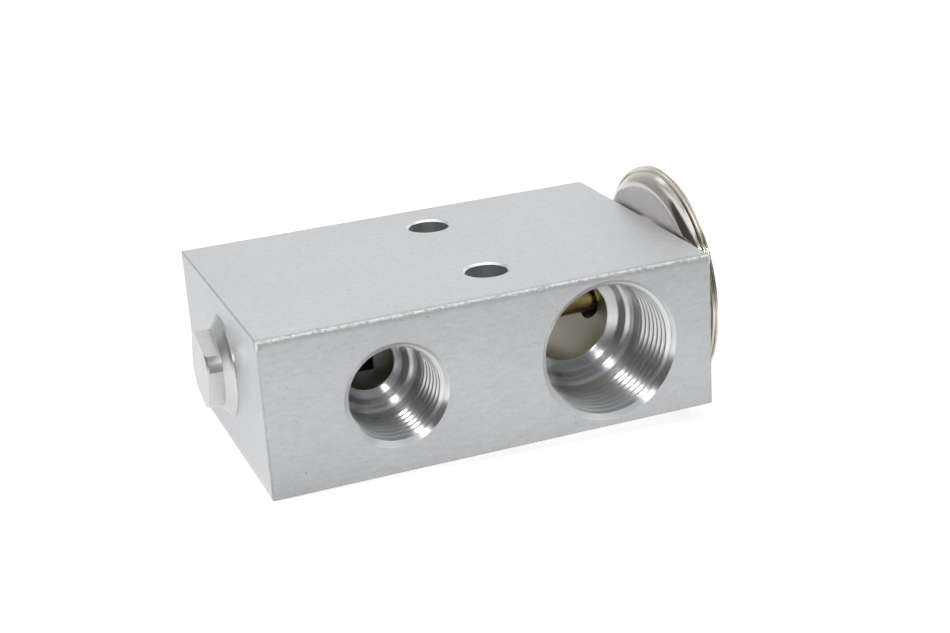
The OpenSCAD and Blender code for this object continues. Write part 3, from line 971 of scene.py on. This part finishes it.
@dataclass(frozen=True)
class PortLining:
    """The bright turned wall of one port, from its mouth to the edge of the drilling, with eased corners.

    Lengths are in millimetres.
    """

    port: Port
    thread_height: float = 0.72
    step: float = 0.06
    ease: float = 0.1
    cover: float = 0.03
    least_cover: float = 0.02
    thickness: float = 0.75
    sides: int = 160

    def cut(self) -> tuple[np.ndarray, np.ndarray]:
        """Corners of the wall: chamfer, tapped wall, drilled wall, then the steps down to the drilling.

        Returns:
            Depths below the face and radii, from the mouth inwards.
        """
        radius, tapped, chamfer = self.port.wall_radius, self.port.depth, self.port.mouth_chamfer
        corners = [(0.0, radius + chamfer), (chamfer, radius), (tapped, radius),
                   (tapped + 0.001, radius - self.thread_height), *self.port.steps]
        depths, radii = np.array(corners).T
        return depths, radii

    def outline(self) -> tuple[np.ndarray, np.ndarray]:
        """Section of the lining.

        Its open side follows the cut at fine steps: the smallest radius near each depth, averaged over a
        short run so that the corners are eased, and a little less than the cut's own. Its hidden side lies
        in the metal behind the cut.

        Returns:
            Depths and radii, once around the section.
        """
        depths, radii = self.cut()
        tapped, end = self.port.depth, float(depths[-1])
        fine = np.concatenate([[0.03, 0.25, 0.5], np.linspace(1.0, tapped - 0.4, 6),
                               np.arange(tapped - 0.3, end, self.step)])
        wall = np.interp(fine, depths, radii)
        near = np.linspace(-self.step, self.step, 7)
        run = np.linspace(-self.ease, self.ease, 9)
        around = fine[:, None, None] + run[None, :, None] + near[None, None, :]
        least = np.interp(around, depths, radii).min(axis=2)
        eased = np.where(fine > tapped - 0.35, least.mean(axis=1), wall)
        open_side = np.minimum(eased - self.cover, wall - self.least_cover)

        mouth, bore = radii[0] + 0.04, radii[-1]
        hidden_depths, hidden_radii = depths[:0:-1] + 0.1, radii[:0:-1] + self.thickness
        return (np.concatenate([[0.05], fine, [end + 0.02, end + 0.08], hidden_depths]),
                np.concatenate([[mouth], open_side, [bore - 0.02, bore + 0.12], hidden_radii]))

    def build(self) -> bpy.types.Object:
        """Turns the section round the port's axis.

        Returns:
            The lining as one closed ring.
        """
        depth, radius = self.outline()
        turn = np.linspace(0.0, 2 * math.pi, self.sides, endpoint=False)[:, None]
        points = self.port.around(depth, radius, turn)
        faces = tube_faces(self.sides + 1, len(depth)) % len(points)
        return mesh_piece(f"{self.port.name}_wall", points, faces.tolist())


# Sub-assemblies


@dataclass
class SubAssembly:
    """A group of pieces that belong together."""

    finishes: Finishes
    nodes: dict[str, bpy.types.Object]

    def paint(self, material: bpy.types.Material, *names: str) -> None:
        """Puts one material on CAD nodes.

        Args:
            material: the finish.
            names: names of the nodes.
        """
        for name in names:
            piece = self.nodes[name]
            piece.data.materials.clear()
            piece.data.materials.append(material)
            LOG.info("dressed %s with %s", name, material.name)


class ValveBlock(SubAssembly):
    """The aluminium block with its four threaded ports."""

    def build(self) -> None:
        """Dresses the block and adds the turned walls and the thread ridges."""
        self.paint(self.finishes.block, "block_body")
        for kind in (PortLining, PortThread):
            for port in PORTS:
                piece = kind(port).build()
                piece.data.materials.append(self.finishes.bored[port.finish])
                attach(piece, BLOCK_BODY)
                LOG.info("built %s with %d faces", piece.name, len(piece.data.polygons))


class SpringEnd(SubAssembly):
    """The end plug and what lies behind it."""

    def build(self) -> None:
        """Dresses the plug, its seal, the nut, the spring and the damper ring."""
        self.paint(self.finishes.plug, "end_plug")
        self.paint(self.finishes.rubber, "plug_seal")
        self.paint(self.finishes.brass, "adjusting_nut")
        self.paint(self.finishes.spring, "superheat_spring", "damper_ring")


class ValveTrain(SubAssembly):
    """The ball with its carrier, the pin and the sensing rod with its seal."""

    def build(self) -> None:
        """Dresses the moving pieces and the rod's seal."""
        self.paint(self.finishes.brass, "ball_carrier", "sensing_rod")
        self.paint(self.finishes.bright, "valve_ball", "push_pin")
        self.paint(self.finishes.rubber, "rod_seal")
        self.paint(self.finishes.washer, "backup_washer")
        self.paint(self.finishes.spring, "seal_retainer")


class PowerHead(SubAssembly):
    """The welded capsule with its diaphragm."""

    def build(self) -> None:
        """Dresses the covers and the pieces between them."""
        self.paint(self.finishes.cover, "head_lower_cover", "head_upper_cover")
        self.paint(self.finishes.bright, "charge_plug", "diaphragm")
        self.paint(self.finishes.support, "diaphragm_support")
        self.paint(self.finishes.rubber, "head_seal")


# Studio


def floor_up() -> Vector:
    """Upward direction of the floor, which touches the block's lower left edge and the head's rim.

    Returns:
        The direction.
    """
    run = VALVE.rim_x - VALVE.low[0]
    drop = VALVE.rim_radius - VALVE.axis_z + VALVE.low[2]
    return Vector((drop, 0.0, run)).normalized()


@dataclass(frozen=True)
class PhotoCamera:
    """The photograph's camera, worked out from the block's edges.

    Its place and its sensor are in millimetres, and where it starts to see is in metres.
    """

    focal_pixels: float = 1750.24
    image_width: float = 950.0
    sensor: float = 36.0
    clip_start: float = 0.01
    eye: Point = (-91.802, -255.574, 102.088)
    right: Point = (0.92809, -0.36714, -0.06212)
    down: Point = (-0.18336, -0.30543, -0.93439)
    forward: Point = (0.32408, 0.87859, -0.35078)

    def build(self) -> None:
        """Makes the camera and looks through it."""
        data = bpy.data.cameras.new("photo_camera")
        data.sensor_fit = "HORIZONTAL"
        data.sensor_width = self.sensor
        data.lens = self.focal_pixels * self.sensor / self.image_width
        data.clip_start = self.clip_start
        camera = bpy.data.objects.new("photo_camera", data)
        right, up, back = Vector(self.right), -Vector(self.down), -Vector(self.forward)
        turn = Matrix((right, up, back)).transposed().to_4x4()
        camera.matrix_world = Matrix.Translation(Vector(self.eye) * MM) @ turn
        bpy.context.scene.collection.objects.link(camera)
        bpy.context.scene.camera = camera


@dataclass(frozen=True)
class PaperFloor:
    """A white paper floor that keeps the shadow.

    Mirrors see it glow from its front edge backwards, but less before the block's front and beside its left
    end: painted shade of the block on the paper. The gap under the valve is in millimetres, the parts' edges
    in millimetres along X or Y, and the reach in metres.
    """

    reach: float = 3.0
    gap: float = 0.02
    matt: float = 0.8
    matt_in_mirrors: float = 0.4
    camera_glow: float = 0.46
    sheet_edge: Range = (-115.0, -85.0)
    sheet_glow: Range = (0.08, 0.82)
    before_front: Range = (-62.0, -27.0)
    front_end: float = -24.0
    left_part: Range = (-70.0, -42.0)
    front_dimmed: float = 0.5
    beside_end: Range = (-20.0, 10.0)
    left_of_end: float = -41.0
    end_dimmed: float = 0.84

    def glow(self, graph: Graph) -> Source:
        """How bright mirrors see the paper.

        Args:
            graph: the floor's graph.

        Returns:
            The brightness.
        """
        across, ahead, _ = graph.parts(graph.millimetres())
        sheet = graph.span(ahead, *self.sheet_edge, *self.sheet_glow)
        # Painted shade: the glow is dimmed before the block's front and beside its left end.
        front = graph.product(graph.span(ahead, *self.before_front),
                              graph.math("LESS_THAN", ahead, self.front_end),
                              graph.span(across, *self.left_part))
        end = graph.product(graph.span(ahead, *self.beside_end),
                            graph.math("LESS_THAN", across, self.left_of_end))
        return graph.product(sheet, graph.between(front, 1.0, self.front_dimmed),
                             graph.between(end, 1.0, self.end_dimmed))

    def paper(self, graph: Graph, whiteness: float, glow: Source | None = None) -> bpy.types.Node:
        """Matt paper, with or without a glow of its own.

        Args:
            graph: the floor's graph.
            whiteness: share of light that it scatters.
            glow: light that it adds.

        Returns:
            The shader.
        """
        matt = graph.add("ShaderNodeBsdfDiffuse", {"Color": (whiteness, whiteness, whiteness)})
        if glow is None:
            return matt
        light = graph.add("ShaderNodeEmission", {"Color": (1.0, 1.0, 1.0), "Strength": glow})
        return graph.add("ShaderNodeAddShader", {0: matt.outputs[0], 1: light.outputs[0]})

    def build(self) -> None:
        """Lays the floor as a wide sheet through the resting points."""
        up = floor_up()
        level = Vector((0.0, 1.0, 0.0))
        ahead = level.cross(up)
        start = Vector((VALVE.low[0], VALVE.axis_y, VALVE.low[2])) * MM - up * self.gap * MM
        signs = ((-1, -1), (1, -1), (1, 1), (-1, 1))
        corners = [start + (ahead * a + level * b) * self.reach for a, b in signs]
        mesh = bpy.data.meshes.new("floor")
        mesh.from_pydata(corners, [], [(0, 1, 2, 3)])
        floor = bpy.data.objects.new("floor", mesh)
        bpy.context.scene.collection.objects.link(floor)

        material, graph = new_material("floor_paper")
        shader = graph.by_ray(
            camera=self.paper(graph, 1.0, self.camera_glow),
            mirror=self.paper(graph, self.matt_in_mirrors, self.glow(graph)),
            other=self.paper(graph, self.matt),
        )
        graph.add("ShaderNodeOutputMaterial", {"Surface": shader.outputs[0]})
        mesh.materials.append(material)


@dataclass(frozen=True)
class Room:
    """The studio's walls and ceiling: white to the camera, even for matt surfaces, uneven in mirrors.

    Mirrors see dark walls in front, a sweep that grows brighter to the right, and a bright ceiling with a
    dark patch behind its middle. Limits are parts of a unit direction: along X or Y of the model, upwards
    from the floor, or towards the dark side.
    """

    dark_side: Point = (-0.68, -0.73, 0.0)
    dark: float = 0.07
    dark_turn: Range = (0.1, 0.24)
    dark_top: Range = (0.72, 0.64)
    front_wall: Range = (-0.42, -0.52)
    front_wall_from: Range = (-0.45, -0.35)
    sweep_turn: Range = (-0.55, 0.2)
    sweep: Range = (0.44, 0.9)
    ceiling_from: Range = (0.5, 0.72)
    ceiling_turn: Range = (-0.2, 0.0)
    ceiling: Range = (1.4, 0.8)
    left_ceiling_turn: Range = (-0.36, -0.5)
    left_ceiling: float = 1.25
    overhead_from: Range = (0.6, 0.72)
    overhead_front: Range = (0.0, 0.15)
    overhead_back: Range = (0.66, 0.55)
    overhead_left: Range = (-0.42, -0.3)
    overhead: float = 0.08
    soft: float = 0.55

    def mirrored(self, graph: Graph) -> Socket:
        """How bright mirrors see the room in each direction.

        Args:
            graph: the world's graph.

        Returns:
            The brightness.
        """
        direction = graph.add("ShaderNodeTexCoord").outputs["Generated"]
        across, ahead, _ = graph.parts(direction)
        height = graph.vector("DOT_PRODUCT", direction, tuple(floor_up()))
        level = graph.vector("NORMALIZE", graph.stretched(direction, (1.0, 1.0, 0.0)))
        side = graph.vector("DOT_PRODUCT", level, tuple(Vector(self.dark_side).normalized()))

        ceiling = graph.span(ahead, *self.ceiling_turn, *self.ceiling)
        ceiling = graph.between(graph.span(across, *self.left_ceiling_turn), ceiling, self.left_ceiling)
        sweep = graph.span(across, *self.sweep_turn, *self.sweep)
        light = graph.between(graph.span(height, *self.ceiling_from), sweep, ceiling)
        overhead = graph.product(graph.span(height, *self.overhead_from),
                                 graph.span(ahead, *self.overhead_front),
                                 graph.span(ahead, *self.overhead_back),
                                 graph.span(across, *self.overhead_left))
        light = graph.between(overhead, light, self.overhead)

        dark = graph.product(graph.span(side, *self.dark_turn), graph.span(height, *self.dark_top))
        front = graph.product(graph.span(ahead, *self.front_wall), graph.span(across, *self.front_wall_from))
        return graph.between(graph.math("MAXIMUM", dark, front), light, self.dark)

    def build(self) -> None:
        """Makes the world."""
        world = bpy.data.worlds.new("studio")
        world.use_nodes = True
        bpy.context.scene.world = world
        graph = Graph(world.node_tree)
        shades = (((1.0, 1.0, 1.0), 1.0), ((0.98, 0.99, 1.0), self.mirrored(graph)),
                  ((0.97, 0.985, 1.0), self.soft))
        camera, mirror, other = (graph.add("ShaderNodeBackground", {"Color": colour, "Strength": strength})
                                 for colour, strength in shades)
        shader = graph.by_ray(camera, mirror, other)
        graph.add("ShaderNodeOutputWorld", {"Surface": shader.outputs[0]})


@dataclass(frozen=True)
class SoftLamp:
    """A rectangular lamp that faces the middle of the valve. Its place and size are in metres."""

    name: str
    place: Point
    width: float
    height: float
    watts: float

    def build(self) -> None:
        """Makes the lamp."""
        data = bpy.data.lights.new(self.name, "AREA")
        data.shape = "RECTANGLE"
        data.size, data.size_y = self.width, self.height
        data.energy = self.watts
        lamp = bpy.data.objects.new(self.name, data)
        place = Vector(self.place)
        turn = place.to_track_quat("Z", "Y").to_matrix().to_4x4()
        lamp.matrix_world = Matrix.Translation(place) @ turn
        bpy.context.scene.collection.objects.link(lamp)


@dataclass(frozen=True)
class Studio:
    """White floor, white room, two lamps and the photograph's camera."""

    soft_box: SoftLamp = SoftLamp("top_softbox", (0.1, 0.3, 0.7), 0.7, 0.7, 1.0)
    bright_line: SoftLamp = SoftLamp("small_lamp", (-0.216, -0.54, 0.425), 0.1, 0.08, 0.95)

    def build(self) -> None:
        """Builds the studio, and shows colours as they are."""
        for part in (PhotoCamera(), PaperFloor(), Room(), self.soft_box, self.bright_line):
            part.build()
        bpy.context.scene.view_settings.view_transform = "Standard"


def main() -> None:
    """Builds the sub-assemblies in order."""
    logging.basicConfig(level=logging.INFO, format="%(message)s")
    finishes = Finishes()
    Studio().build()
    for part in (ValveBlock, SpringEnd, ValveTrain, PowerHead):
        part(finishes, frame["nodes"]).build()
        LOG.info("finished %s", part.__name__)


if __name__ == "__main__":
    main()
